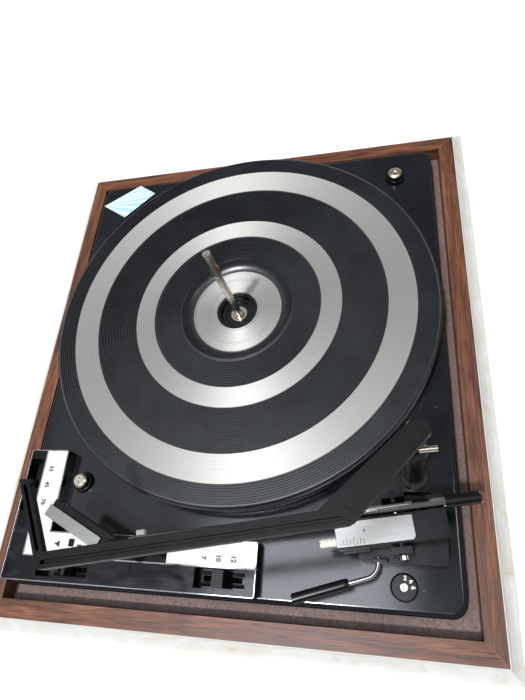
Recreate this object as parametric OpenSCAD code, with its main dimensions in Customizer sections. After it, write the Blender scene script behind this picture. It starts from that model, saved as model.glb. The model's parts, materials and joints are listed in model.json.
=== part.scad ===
// Automatic record changer in a veneered plinth.
// Millimetres, +Z up. Origin: centre of the plinth's footprint, on the surface it stands on.
// Mechanism modules are written from the platter axis and the deck's top face (see on_deck).

/* [Plinth] */
// Overall width over the flared moulding
plinth_w = 380; // [370:1:400]
// Overall depth over the flared moulding
plinth_d = 330; // [322:1:345]
// Height of the veneered walls' top edge above the table
wall_top = 100; // [96:1:120]
// Thickness of the veneered walls
wall_t = 11; // [9:0.5:11]
// Width of the flared moulding outside the walls
flare = 8; // [6:0.5:9]
// Height of the rubber feet
foot_h = 8; // [6:1:12]
// Depth of the motor board's top below the walls' top edge
ledge_drop = 11.5; // [11:0.5:16]

/* [Deck] */
// Width of the unit plate
deck_w = 331; // [328:1:332]
// Depth of the unit plate
deck_d = 284; // [282:1:286]
// Height of the plate's top face above the walls' top edge
deck_rise = 3; // [2:0.5:4]
// Corner radius of the plate
deck_r = 9; // [7:0.5:12]
// Depth of the rolled edge
deck_lip = 9; // [6:0.5:9]
// Sheet thickness of the plate
deck_t = 1.2; // [1:0.1:1.5]

/* [Platter] */
// Outer radius of the platter and its mat
platter_r = 137.5; // [136:0.5:138]
// Height of the mat rings above the deck
platter_top = 19.6; // [19:0.1:20.5]
// Number of coarse ribs at the edge of the mat
edge_ribs = 8; // [6:1:9]

/* [Drive] */
// Radius of the idler tyre
idler_r = 20; // [18:0.5:21]
// Radius of the motor pulley step for 33 rpm
pulley_r = 3; // [2.8:0.1:3.2]

/* [Tonearm] */
// Angle of the arm from straight forward, parked on its rest
arm_angle = 9.2; // [8:0.2:10]
// Height of the tube's axis above the deck
arm_z = 30; // [29:0.5:31]
// Length of the tube in front of the pivot
arm_reach = 153; // [150:1:155]
// Radius of the tube
tube_r = 2.9; // [2.5:0.1:3]
// Angle between the tube and the headshell
head_offset = 34.5; // [30:0.5:36]

/* [Overarm] */
// Height of the overarm's underside above the deck, raised
over_z = 92; // [90:1:96]
// Thickness of the overarm's long leg
over_t = 6; // [5:0.5:8]

/* [Hidden] */
$fn = 72;
gap = 0.3;                 // clearance between bodies that pass each other
slip = 0.05;               // radial running clearance of a shaft in its bore
eps = 0.01;                // overlap that keeps a cut clean

deck_top = wall_top + deck_rise;
board_top = wall_top - ledge_drop;
board_t = 12;
base_t = 5;
wall_w = plinth_w - 2 * flare;
wall_d = plinth_d - 2 * flare;
room_w = wall_w - 2 * wall_t;
room_d = wall_d - 2 * wall_t;
platter_x = -24.15;        // platter axis from the plinth's centre
platter_y = -0.5;
deck_x = -3.35;            // plate centre from the plinth's centre
deck_y = -2.15;
base_screw_pos = [for (x = [-1, 1], y = [-1, 1]) [x * (wall_w / 2 - wall_t / 2 - 2), y * (wall_d / 2 - 40)]];
foot_pos = [for (x = [-1, 1], y = [-1, 1]) [x * (wall_w / 2 - 24), y * (wall_d / 2 - 24)]];

// outlet for the leads in the back wall
gland_x = 120;
gland_z = 40;
gland_r = 6;
gland_flange = 2;

// motor board planks: inner edges of the cut-out for the mechanism
cut_left = -140;
cut_right = 128;
cut_front = -95;
cut_back = 95;

// suspension: transit screws and springs, from the platter axis
spring_pos = [[120.5, -101.5], [-118.5, 112.5], [-118.5, -101.5], [152, 124]];
spring_turns = 4;
spring_wire = 0.7;
spring_coil = 8.5;

// platter stack, heights above the deck
pan_top = 13;
pan_t = 1.8;
rim_in = 134;
disc_r0 = 14.8;
disc_r1 = 32.4;
ring1 = [60.6, 74.7];
ring2 = [104.8, 123.2];
post_r = 6;
spindle_r = 2.5;
hub_r = 14.5;
pinion_r = 10;

// drive geometry, from the platter axis
motor_dir = 217;
motor_dist = 95;
idler_dist = rim_in - idler_r - gap;
idler_motor = idler_r + pulley_r + gap;
idler_swing = acos((pow(idler_dist, 2) + pow(motor_dist, 2) - pow(idler_motor, 2))
                   / (2 * idler_dist * motor_dist));
idler_dir = motor_dir - idler_swing;
motor_xy = motor_dist * [cos(motor_dir), sin(motor_dir)];
idler_xy = idler_dist * [cos(idler_dir), sin(idler_dir)];
pulley_z0 = 2.5;
idler_z0 = 5.2;
idler_h = 4;
idler_pivot = [-106, -30];

// cam gear
cam_teeth = 58;
cam_r = 44;
cam_xy = (cam_r + pinion_r + 3) * [cos(62), sin(62)];

// control panel, from the platter axis
panel_h = 8;
panel_x0 = 100.5;
panel_x1 = 184;
panel_y0 = -142;
panel_y1 = 26;
panel_leg_y = -113;
panel_leg_x = 153.8;
panel_r = 1.5;
plate_t = 0.6;
trim_w = 0.8;
trim_t = 0.9;
strip_x = 168.5;           // white scale | black strip on the right leg
strip_y = -129;            // white scale | black strip on the front leg
speed_x = 124;             // lever positions at rest
speed_y = -136.5;
start_x = 175.5;
start_y = -97;
size_x = 175;
size_y = 4;
speed_travel = [-11, 11.5];
start_travel = [-8, 8];
size_travel = [-9.5, 9.5];

// tonearm, local frame: x to the right, the head towards -y, origin on the swing axis
arm_xy = [135.3, 104];
yoke_z0 = 14.6;
arm_end = 44;              // rear end of the counterweight
block_x = [3.4, 17.6];     // housing block beside the tube
block_y = [-32, 25];
block_z = [20.5, 33];
trunnion_r = 1.5;
pedestal_h = 14;
head_shift = -0.6;         // plate's rear end from the tube's axis
head_len = 41.5;
head_w = 7;
head_step = 4;             // width of the lower black step beside the plate
head_back = 8;             // length of the body behind the plate
head_top = arm_z + 4.4;
head_low = arm_z - 4;
stylus_z = platter_top + 2.2;
adjuster_x = 13;           // force adjuster in the housing block
adjuster_z = 26.5;
rest_y = -40;              // cradle that the parked arm lies in
rest_x = arm_xy.x + (arm_xy.y - rest_y) * tan(arm_angle);
dial_xy = [172.5, 107.5];

// cue lever: a shaft along x, a quarter bend and a straight run with the handle
cue_y = 94.6;
cue_z = 15.5;
cue_r = 1.2;
cue_bend_x = 161.6;        // where the bend starts
cue_bend = 8.5;            // radius of the wire's bend
cue_angle = -72;           // direction of the straight run, seen from above
cue_run = 16.1;
cue_grip = 6;              // length of the run inside the handle
cue_handle_l = 31.7;

// stacking spindle and its pawl, heights above the deck
step_z = 60;               // shoulder that the records rest on
step_r = 2.95;
head_shift_y = 0.4;        // the part above the shoulder stands off to the back
neck_r = 2.6;
cap_r = 2.9;
cap_z = 82;
spindle_top = 87.6;
pawl_z = 72;               // height of the pawl's pin

// overarm: centre lines of its two legs, and the outer edge of the web that runs to the post
over_post_xy = [112, 115.5];
over_corner = [175.2, -53];
over_bend = [150.2, 85];
over_tip = [140.2, -71.6];
over_elbow = [153.3, 87.9];
over_end = [113.7, 122];
over_w = 7.4;              // long leg
over_foot_w = 5;           // short leg
over_foot_t = 4;
over_drop = 22;

// ---------- placing ----------

module on_deck() {
    translate([platter_x, platter_y, deck_top]) children();
}

module on_arm() {
    on_deck() translate([arm_xy.x, arm_xy.y, 0]) rotate([0, 0, arm_angle]) children();
}

// head frame: origin at the rear of the top plate, the front towards -y
module on_head() {
    on_arm() translate([head_shift, -arm_reach - 15.8, 0]) rotate([0, 0, -head_offset]) children();
}

module at(positions) {
    for (p = positions) translate([p.x, p.y, 0]) children();
}

// ---------- shapes ----------

// a box from corner to corner
module block(p0, p1) {
    translate(p0) cube(p1 - p0);
}

// flat rectangle with round corners, from corner to corner
module round_rect(x0, y0, x1, y1, r) {
    translate([x0 + r, y0]) square([x1 - x0 - 2 * r, y1 - y0]);
    translate([x0, y0 + r]) square([x1 - x0, y1 - y0 - 2 * r]);
    for (x = [x0 + r, x1 - r], y = [y0 + r, y1 - r]) translate([x, y]) circle(r);
}

module ring(r0, r1, z0, z1) {
    translate([0, 0, z0]) difference() {
        cylinder(r = r1, h = z1 - z0);
        translate([0, 0, -1]) cylinder(r = r0, h = z1 - z0 + 2);
    }
}

// flat bar between two points, seen from above
module bar(a, b, w, z0, z1, ends = true) {
    d = b - a;
    translate([a.x, a.y, z0]) rotate([0, 0, atan2(d.y, d.x)]) {
        translate([0, -w / 2, 0]) cube([norm(d), w, z1 - z0]);
        if (ends) {
            cylinder(d = w, h = z1 - z0);
            translate([norm(d), 0, 0]) cylinder(d = w, h = z1 - z0);
        }
    }
}

// a profile (x outward from the corner arc's centre, y up) carried round a rounded rectangle
module carried_round(w, d, r) {
    for (s = [-1, 1]) {
        translate([s * (w / 2 - r), 0, 0]) mirror([s < 0 ? 1 : 0, 0, 0]) rotate([90, 0, 0])
            linear_extrude(d - 2 * r, center = true) children();
        translate([0, s * (d / 2 - r), 0]) rotate([0, 0, 90 * s]) rotate([90, 0, 0])
            linear_extrude(w - 2 * r, center = true) children();
    }
    for (q = [0:3]) {
        sx = (q == 0 || q == 3) ? 1 : -1;
        sy = q < 2 ? 1 : -1;
        translate([sx * (w / 2 - r), sy * (d / 2 - r), 0]) rotate([0, 0, 90 * q])
            rotate_extrude(angle = 90) children();
    }
}

// coil spring standing on the origin, as one swept solid
module spring(turns, coil_r, wire_r, h) {
    sides = 6;
    steps = 18 * turns;
    points = [for (i = [0:steps], j = [0:sides - 1])
        let (a = 360 * turns * i / steps, b = 360 * j / sides, z = wire_r + (h - 2 * wire_r) * i / steps)
        [(coil_r + wire_r * cos(b)) * cos(a), (coil_r + wire_r * cos(b)) * sin(a), z + wire_r * sin(b)]];
    skin = [for (i = [0:steps - 1], j = [0:sides - 1])
        let (k = (j + 1) % sides)
        [i * sides + j, (i + 1) * sides + j, (i + 1) * sides + k, i * sides + k]];
    ends = [[for (j = [0:sides - 1]) j], [for (j = [sides - 1:-1:0]) steps * sides + j]];
    polyhedron(points, concat(skin, ends), convexity = 4);
}

// cross-head screw: countersunk-looking flat head on a shank that points down from z = 0
module screw(head_r, head_h, shank_r, shank_l) {
    difference() {
        union() {
            cylinder(r = head_r, h = head_h * 0.6);
            translate([0, 0, head_h * 0.6]) cylinder(r1 = head_r, r2 = head_r * 0.72, h = head_h * 0.4);
            translate([0, 0, -shank_l]) cylinder(r = shank_r, h = shank_l + eps);
        }
        for (a = [0, 90]) rotate([0, 0, a])
            translate([-head_r * 0.5, -head_r * 0.09, head_h * 0.45]) cube([head_r, head_r * 0.18, head_h]);
    }
}

// ---------- plinth ----------

function side_turn(side) = side == "front" ? 0 : side == "right" ? 90 : side == "back" ? 180 : 270;

// mitre: the piece of a frame of width w and depth d that belongs to one side
module mitre(side, w, d) {
    long = (side == "front" || side == "back") ? w : d;
    far = (side == "front" || side == "back") ? d : w;
    rotate([0, 0, side_turn(side)]) linear_extrude(400, center = true)
        polygon([[-long / 2, -far / 2], [long / 2, -far / 2],
                 [long / 2 - 40, -far / 2 + 40], [-long / 2 + 40, -far / 2 + 40]]);
}

module wall(side) {
    low = foot_h + base_t;
    color([0.45, 0.27, 0.18]) intersection() {
        difference() {
            translate([-wall_w / 2, -wall_d / 2, low]) cube([wall_w, wall_d, wall_top - low]);
            translate([-room_w / 2, -room_d / 2, 0]) cube([room_w, room_d, 2 * wall_top]);
            if (side == "back") gland_hole();
            at(base_screw_pos) cylinder(r = 1.5 + slip, h = low + 9);
        }
        mitre(side, wall_w, wall_d);
    }
}

// hole for the grommet, counterbored on the outside for its flange
module gland_hole() {
    translate([gland_x, plinth_d / 2, gland_z]) rotate([90, 0, 0]) {
        translate([0, 0, -1]) cylinder(r = gland_r, h = wall_t + flare + 2);
        translate([0, 0, -1]) cylinder(r = gland_r + 2.5, h = gland_flange + 1);
    }
}

// section of the moulding: x outward from the wall, y up; a cove runs from the wall's top edge to the lip
module moulding_section() {
    low = foot_h;
    difference() {
        translate([0, low]) square([flare, wall_top - low]);
        translate([flare + 1.2, wall_top + 1.2]) circle(flare + 0.6);
    }
}

// one side of the moulding, mitred at both ends
module moulding(side) {
    across = (side == "front" || side == "back") ? plinth_w : plinth_d;
    out = (side == "front" || side == "back") ? wall_d / 2 : wall_w / 2;
    color([0.86, 0.83, 0.74]) intersection() {
        difference() {
            rotate([0, 0, side_turn(side)]) translate([0, -out, 0]) rotate([0, 0, -90]) rotate([90, 0, 0])
                linear_extrude(across, center = true) moulding_section();
            if (side == "back") gland_hole();
        }
        mitre(side, plinth_w, plinth_d);
    }
}

module wall_front() { wall("front"); }
module wall_back() { wall("back"); }
module wall_left() { wall("left"); }
module wall_right() { wall("right"); }
module moulding_front() { moulding("front"); }
module moulding_back() { moulding("back"); }
module moulding_left() { moulding("left"); }
module moulding_right() { moulding("right"); }

// holes under the springs, and clearance round the stems of the tonearm and the overarm
module board_holes() {
    on_deck() translate([0, 0, -60]) {
        at(spring_pos) cylinder(r = 2.1, h = 60);
        translate([over_post_xy.x, over_post_xy.y, 0]) cylinder(r = 8, h = 60);
        translate([arm_xy.x, arm_xy.y, 0]) cylinder(r = 9, h = 60);
        block([arm_xy.x - 7, cut_back - 5, 0], [arm_xy.x + 7, arm_xy.y, 60]);
    }
}

module motor_board_front() {
    color([0.5, 0.4, 0.32]) difference() {
        block([-room_w / 2, -room_d / 2, board_top - board_t], [room_w / 2, cut_front, board_top]);
        board_holes();
    }
}

module motor_board_back() {
    color([0.5, 0.4, 0.32]) difference() {
        block([-room_w / 2, cut_back, board_top - board_t], [room_w / 2, room_d / 2, board_top]);
        board_holes();
    }
}

module motor_board_sides() {
    color([0.5, 0.4, 0.32]) {
        block([-room_w / 2, cut_front, board_top - board_t], [cut_left, cut_back, board_top]);
        block([cut_right, cut_front, board_top - board_t], [room_w / 2, cut_back, board_top]);
    }
}

module base_board() {
    color([0.42, 0.3, 0.2]) difference() {
        block([-wall_w / 2, -wall_d / 2, foot_h], [wall_w / 2, wall_d / 2, foot_h + base_t]);
        for (x = [-3:3], y = [-1, 1]) translate([x * 22, y * 45, 0]) cylinder(r = 5, h = 40);
        translate([0, 0, foot_h]) at(base_screw_pos) {
            translate([0, 0, -1]) cylinder(r = 1.6, h = 20);
            translate([0, 0, -eps]) cylinder(r = 3.2, h = 1.6 + eps);
        }
    }
}

module base_screws() {
    color("silver") translate([0, 0, foot_h + 1.6]) at(base_screw_pos) mirror([0, 0, 1])
        screw(3.1, 1.5, 1.5, base_t - 1.6 + 8);
}

module feet() {
    color([0.08, 0.08, 0.08]) at(foot_pos) {
        difference() {
            cylinder(r1 = 9, r2 = 10.5, h = foot_h);
            translate([0, 0, -1]) cylinder(r = 3.5, h = 4);
        }
    }
}

// flanged rubber bush in the back wall where the leads come out
module cord_grommet() {
    color([0.1, 0.1, 0.1]) translate([gland_x, plinth_d / 2, gland_z]) rotate([90, 0, 0]) difference() {
        union() {
            cylinder(r = gland_r + 2.5, h = gland_flange);
            cylinder(r = gland_r, h = wall_t + flare);
        }
        translate([0, 0, -1]) cylinder(r = gland_r - 2, h = wall_t + flare + 2);
    }
}

// ---------- suspension ----------

module suspension_springs() {
    color([0.6, 0.6, 0.62]) on_deck() at(spring_pos)
        translate([0, 0, board_top - deck_top + 0.05])
            spring(spring_turns, spring_coil, spring_wire, deck_top - deck_t - board_top - 0.1);
}

module transit_screws() {
    color([0.8, 0.76, 0.68]) on_deck() at([spring_pos[0], spring_pos[1]])
        translate([0, 0, 5]) screw(5, 2.4, 1.7, 5 + deck_top - board_top + board_t - 1);
}

// ---------- deck ----------

// rolled edge of the plate: x from the corner arc's centre, y up from the deck's top face
module lip_section(inset) {
    roll = 3.5;
    past = inset > 0 ? 1 : 0;
    translate([-past, -deck_lip - inset]) {
        square([deck_r - roll + past, deck_lip]);
        square([deck_r - inset + past, deck_lip - roll + inset]);
    }
    translate([deck_r - roll, -roll]) circle(roll - inset);
}

module deck_plate() {
    color([0.16, 0.18, 0.2]) difference() {
        translate([deck_x, deck_y, deck_top]) {
            block([-deck_w / 2 + deck_r, -deck_d / 2 + deck_r, -deck_t],
                  [deck_w / 2 - deck_r, deck_d / 2 - deck_r, 0]);
            carried_round(deck_w, deck_d, deck_r) difference() {
                lip_section(0);
                lip_section(deck_t);
            }
        }
        on_deck() {
            translate([0, 0, -5]) cylinder(r = post_r, h = 10);
            at([spring_pos[0], spring_pos[1]]) translate([0, 0, -5]) cylinder(r = 3, h = 10);
            translate([motor_xy.x, motor_xy.y, -5]) cylinder(r = 11, h = 10);
            // slots for the stems of the levers
            block([speed_x + speed_travel[0] - 2.5, speed_y - 1.6, -5],
                  [speed_x + speed_travel[1] + 2.5, speed_y + 1.6, 5]);
            block([start_x - 1.6, start_y + start_travel[0] - 2.5, -5],
                  [start_x + 1.6, start_y + start_travel[1] + 2.5, 5]);
            block([size_x - 1.6, size_y + size_travel[0] - 2.5, -5],
                  [size_x + 1.6, size_y + size_travel[1] + 2.5, 5]);
            // open well beside the overarm post
            translate([0, 0, -5]) linear_extrude(10)
                polygon([[121, 110], [124.5, 107], [124.5, 122], [121, 125]]);
            // holes of the arm and overarm bearings, of the anti-skate dial and of the cam gear
            translate([arm_xy.x, arm_xy.y, -5]) cylinder(r = 5, h = 10);
            translate([over_post_xy.x, over_post_xy.y, -5]) cylinder(r = 5, h = 10);
            translate([dial_xy.x, dial_xy.y, -5]) cylinder(r = 2 + slip, h = 10);
            translate([cam_xy.x, cam_xy.y, -5]) cylinder(r = 3, h = 10);
            translate([idler_pivot.x, idler_pivot.y, -5]) cylinder(r = 2, h = 10);
        }
    }
}

module screw_collars() {
    color([0.05, 0.05, 0.05]) on_deck() at([spring_pos[0], spring_pos[1]]) difference() {
        cylinder(r1 = 7.2, r2 = 6.4, h = 3);
        translate([0, 0, -1]) cylinder(r = 3, h = 6);
    }
}

// fixed tube that carries the platter, with a flange under the deck
module bearing_post() {
    color([0.75, 0.75, 0.72]) on_deck() difference() {
        union() {
            translate([0, 0, -38]) cylinder(r = post_r, h = 38 + 9.4);
            translate([0, 0, -deck_t - 3]) cylinder(r = 15, h = 3);
        }
        translate([0, 0, -30]) cylinder(r = spindle_r + slip, h = 60);
    }
}

module thrust_race() {
    color([0.7, 0.7, 0.72]) on_deck() {
        ring(post_r, 10.5, 0, 1.2);
        for (a = [0:45:315]) rotate([0, 0, a]) translate([8.2, 0, 1.9]) sphere(0.85, $fn = 24);
    }
}

// ---------- platter ----------

module platter_pan() {
    color([0.35, 0.36, 0.37]) on_deck() rotate_extrude() {
        translate([hub_r, pan_top - pan_t]) square([platter_r - 4 - hub_r, pan_t]);
        translate([rim_in, 1.6]) square([platter_r - 0.5 - rim_in, pan_top - 1.6 - 3]);
        difference() {
            translate([rim_in, pan_top - 3]) square([platter_r - 0.5 - rim_in, 3]);
            translate([platter_r, pan_top + 0.5]) circle(1.4, $fn = 24);
        }
        translate([rim_in - 4, pan_top - pan_t]) square([5, pan_t]);
    }
}

// section of the mat: seats for the rings, and coarse ribs at the edge
module mat_section() {
    seat = platter_top - 0.8;
    difference() {
        translate([disc_r1 + 0.2, pan_top]) square([platter_r - disc_r1 - 0.2, seat - pan_top]);
        // cove that falls from the ribs to the centre disc
        translate([disc_r1, seat + 3]) circle(8.2);
        // rounded outer edge
        translate([platter_r + 1.5, seat + 1.5]) circle(3);
    }
    for (i = [0:edge_ribs - 1])
        translate([ring2[1] + 0.35 + i * 1.55, seat - 0.5]) square([0.9, 1.1]);
    translate([ring1[1] + 0.1, seat - 0.5]) square([ring2[0] - ring1[1] - 0.2, 1]);
    translate([42, seat - 0.5]) square([ring1[0] - 42.1, 1]);
}

module platter_mat() {
    color([0.2, 0.2, 0.21]) on_deck() rotate_extrude() mat_section();
}

// two bright rings let into the mat
module mat_rings() {
    color([0.85, 0.85, 0.83]) on_deck()
        for (r = [ring1, ring2]) ring(r[0], r[1], platter_top - 0.8, platter_top);
}

module centre_disc() {
    color([0.82, 0.82, 0.8]) on_deck() rotate_extrude() {
        translate([disc_r0, pan_top]) square([disc_r1 - disc_r0, 1.2]);
        translate([disc_r0, pan_top]) square([1.2, 1.8]);
        translate([disc_r1 - 1.2, pan_top]) square([1.2, 1.8]);
    }
}

// hub with its running bore and the pinion that drives the cam gear
module platter_hub() {
    color([0.12, 0.12, 0.12]) on_deck() difference() {
        union() {
            translate([0, 0, 6.5]) cylinder(r = hub_r, h = pan_top - 6.5);
            translate([0, 0, 3]) gear_blank(14, pinion_r, 1.6, 3.6, 0);
        }
        translate([0, 0, 10.2]) cylinder(r = 12.6, h = 5);
        translate([0, 0, 9]) cylinder(r = 9.5, h = 5);
        translate([0, 0, -1]) cylinder(r = post_r + slip, h = 20);
    }
}

// gear with straight-sided teeth; teeth inside the gap angle (centred on direction 0) are left out
module gear_blank(teeth, r, tooth_h, h, gap_angle) {
    pitch = 360 / teeth;
    linear_extrude(h) union() {
        circle(r - tooth_h / 2);
        for (i = [0:teeth - 1]) {
            a = i * pitch + pitch / 2;
            if (abs(a > 180 ? a - 360 : a) > gap_angle / 2) rotate([0, 0, a])
                polygon([[r - tooth_h, -r * sin(pitch * 0.3)], [r + tooth_h / 2, -r * sin(pitch * 0.14)],
                         [r + tooth_h / 2, r * sin(pitch * 0.14)], [r - tooth_h, r * sin(pitch * 0.3)]]);
        }
    }
}

// ---------- changer mechanism ----------

// cam gear parked with its toothless stretch facing the pinion
module cam_gear() {
    color([0.85, 0.84, 0.78]) on_deck() translate([cam_xy.x, cam_xy.y, 0]) {
        difference() {
            translate([0, 0, 3]) rotate([0, 0, 62 + 180]) gear_blank(cam_teeth, cam_r, 1.8, 3, 36);
            translate([0, 0, 4.8]) ring(26, 30, 0, 5);
            for (a = [30:60:330]) rotate([0, 0, a]) translate([15, 0, 0]) cylinder(r = 4.5, h = 10);
        }
        translate([0, 0, -6]) cylinder(r = 3, h = 9.5);
    }
}

// plate on the deck that holds the idler's axle
module idler_arm() {
    color([0.62, 0.62, 0.6]) on_deck() {
        bar(idler_pivot, idler_xy, 9, 0.4, 1.9);
        translate([idler_pivot.x, idler_pivot.y, -6]) cylinder(r = 2, h = 9);
        translate([idler_xy.x, idler_xy.y, 1.5]) cylinder(r = 1.5, h = 9.3);
    }
}

module idler_wheel() {
    color([0.9, 0.88, 0.8]) on_deck() translate([idler_xy.x, idler_xy.y, 0]) difference() {
        union() {
            translate([0, 0, idler_z0 + 0.8]) cylinder(r = idler_r - 3, h = idler_h - 1.6);
            translate([0, 0, idler_z0 - 1.2]) cylinder(r = 4, h = idler_h + 2.4);
        }
        cylinder(r = 1.5 + slip, h = 20);
    }
}

module idler_tyre() {
    color([0.06, 0.06, 0.06]) on_deck() translate([idler_xy.x, idler_xy.y, 0])
        ring(idler_r - 3, idler_r, idler_z0, idler_z0 + idler_h);
}

// laminated stack and frame of the shaded-pole motor, hung from the deck by four studs
module motor_stack() {
    s = 27;
    color([0.5, 0.5, 0.52]) on_deck() translate([motor_xy.x, motor_xy.y, 0]) difference() {
        union() {
            block([-s, -s + 3, -44], [s, s - 3, -26]);
            block([-s + 3, -14, -26], [s - 3, 14, -23.5]);
            for (x = [-1, 1], y = [-1, 1]) translate([x * (s - 4), y * (s - 7), -26 - eps])
                cylinder(r = 2.2, h = 26 - deck_t + eps);
        }
        translate([0, 0, -60]) cylinder(r = 12.4, h = 34.5);
        translate([0, 0, -60]) cylinder(r = 1.5 + slip, h = 60);
        block([-s - 1, -s, -41], [-s + 8, s - 12, -29]);
    }
}

module motor_coil() {
    s = 27;
    color([0.55, 0.25, 0.12]) on_deck() translate([motor_xy.x, motor_xy.y, 0])
        block([-s - 4, -s + 3, -40.7], [-s + 7.7, s - 12.3, -29.3]);
}

module motor_rotor() {
    color([0.7, 0.7, 0.72]) on_deck() translate([motor_xy.x, motor_xy.y, 0]) {
        translate([0, 0, -43]) cylinder(r = 12, h = 16);
        translate([0, 0, -48]) cylinder(r = 1.5, h = 58);
    }
}

// stepped pulley, one step a speed, the 33 rpm step level with the idler
module motor_pulley() {
    color([0.75, 0.6, 0.3]) on_deck() translate([motor_xy.x, motor_xy.y, 0]) difference() {
        union() {
            translate([0, 0, pulley_z0]) cylinder(r = pulley_r, h = idler_z0 + idler_h + 0.7 - pulley_z0);
            translate([0, 0, pulley_z0 - 1.3]) cylinder(r = pulley_r * 1.35, h = 3.4);
            translate([0, 0, pulley_z0 - 5.5]) cylinder(r = pulley_r * 2.34, h = 4.3);
        }
        translate([0, 0, -20]) cylinder(r = 1.5, h = 40);
    }
}

// ---------- stacking spindle ----------

// rod with a collar at the foot, a shoulder on the front side, and a slotted cap
module stack_spindle() {
    color([0.78, 0.77, 0.74]) on_deck() difference() {
        union() {
            translate([0, 0, -30]) cylinder(r = spindle_r, h = 30 + step_z + 2);
            translate([0, 0, 9.75]) cylinder(r = 3.7, h = 1.2);
            translate([0, -0.35, step_z - 1.5]) cylinder(r1 = spindle_r - 0.2, r2 = step_r, h = 1.5);
            translate([0, -0.35, step_z]) cylinder(r = step_r, h = 3);
            translate([0, -0.35, step_z + 3]) cylinder(r1 = step_r, r2 = neck_r - 0.5, h = 5);
            translate([0, head_shift_y, step_z - 1]) cylinder(r = neck_r, h = cap_z - step_z + 1.5);
            translate([0, head_shift_y, cap_z]) rotate_extrude() spindle_cap_section();
        }
        // window for the pawl, and the slot across the cap
        block([-0.9, -1.2, pawl_z - 8.5], [0.9, 6, pawl_z + 1.5]);
        translate([-1.7, head_shift_y, pawl_z]) rotate([0, 90, 0]) cylinder(r = 0.45 + slip, h = 3.4);
        block([-0.3, -6, spindle_top - 2.6], [0.3, 6, spindle_top + 1]);
    }
}

// half section of the cap: a short drum with a rounded top
module spindle_cap_section() {
    h = spindle_top - cap_z;
    square([cap_r, h - 2]);
    square([cap_r - 2, h]);
    translate([cap_r - 2, h - 2]) circle(2);
}

// pusher in the spindle's window, hung from a pin at its top
module record_pawl() {
    color([0.72, 0.55, 0.28]) on_deck() translate([0, 0, pawl_z]) {
        translate([-0.6, 0, 0]) rotate([90, 0, 90])
            linear_extrude(1.2) polygon([[-0.4, 0.6], [1.2, 0.8], [3.3, -3.5], [3.5, -6], [2.4, -7.7],
                                         [0.9, -7.7], [0.6, -4]]);
        translate([-1.5, head_shift_y, 0]) rotate([0, 90, 0]) cylinder(r = 0.45, h = 3);
    }
}

// ---------- control panel ----------

module panel_outline(inset) {
    r = max(panel_r - inset, 0.4);
    round_rect(panel_x0 + inset, panel_y0 + inset, panel_x1 - inset, panel_leg_y - inset, r);
    round_rect(panel_leg_x + inset, panel_y0 + inset, panel_x1 - inset, panel_y1 - inset, r);
}

// recesses of the three levers, as boxes through the panel
module lever_recesses(z0, z1) {
    block([speed_x + speed_travel[0] - 6, speed_y - 4.5, z0],
          [speed_x + speed_travel[1] + 6, speed_y + 4.5, z1]);
    block([start_x - 5, start_y + start_travel[0] - 13, z0],
          [start_x + 5, start_y + start_travel[1] + 7, z1]);
    block([size_x - 5.5, size_y + size_travel[0] - 6, z0], [size_x + 5.5, size_y + size_travel[1] + 6, z1]);
}

module control_panel() {
    color([0.05, 0.06, 0.07]) on_deck() difference() {
        linear_extrude(panel_h) panel_outline(0);
        translate([0, 0, -1]) linear_extrude(panel_h - 1.5) panel_outline(2);
        lever_recesses(-1, panel_h + 1);
        block([strip_x - 0.5, -53.5, panel_h - 1], [strip_x + 5.5, -51.5, panel_h + 1]);
    }
}

module panel_trim() {
    color("silver") on_deck() translate([0, 0, panel_h]) linear_extrude(trim_t) difference() {
        panel_outline(0);
        panel_outline(trim_w);
    }
}

// white plates with the lever scales: an L for speed and start, a strip for record size
module scale_plates() {
    color([0.93, 0.93, 0.92]) on_deck() difference() {
        translate([0, 0, panel_h]) linear_extrude(plate_t) {
            translate([panel_x0 + trim_w, strip_y])
                square([strip_x - panel_x0 - trim_w, panel_leg_y - trim_w - strip_y]);
            translate([panel_leg_x + trim_w, strip_y]) square([strip_x - panel_leg_x - trim_w, 47]);
            translate([panel_leg_x + trim_w, -30])
                square([strip_x - panel_leg_x - trim_w, panel_y1 - trim_w + 30]);
        }
        // pointer slot between the start and stop positions
        block([157.8, start_y - 1.2, panel_h - 1], [162.4, start_y + 2.8, panel_h + 2]);
    }
}

// lever knob with a stem through the deck; the ridge runs across the travel
module lever(x, y, along, size, ridge) {
    w = size.x / 2;
    d = size.y / 2;
    color([0.07, 0.07, 0.07]) on_deck() translate([x, y, 0]) rotate([0, 0, along == "x" ? 0 : 90]) {
        block([-w, -d, 1.2], [w, d, 3]);
        translate([0, d, 3 - eps]) rotate([90, 0, 0]) linear_extrude(2 * d)
            polygon([[-w, 0], [w, 0], [ridge, size.z - 3], [-ridge, size.z - 3]]);
        block([-1.6, -1.3, -9], [1.6, 1.3, 1.2 + eps]);
    }
}

module speed_lever() { lever(speed_x, speed_y, "x", [6.8, 7.2, 11], 1.1); }
module size_lever() { lever(size_x, size_y, "y", [10.8, 9.6, 11.5], 3.4); }
module start_lever() { lever(start_x, start_y, "y", [6.8, 7.2, 10.5], 1.1); }

// ---------- tonearm base ----------

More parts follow.
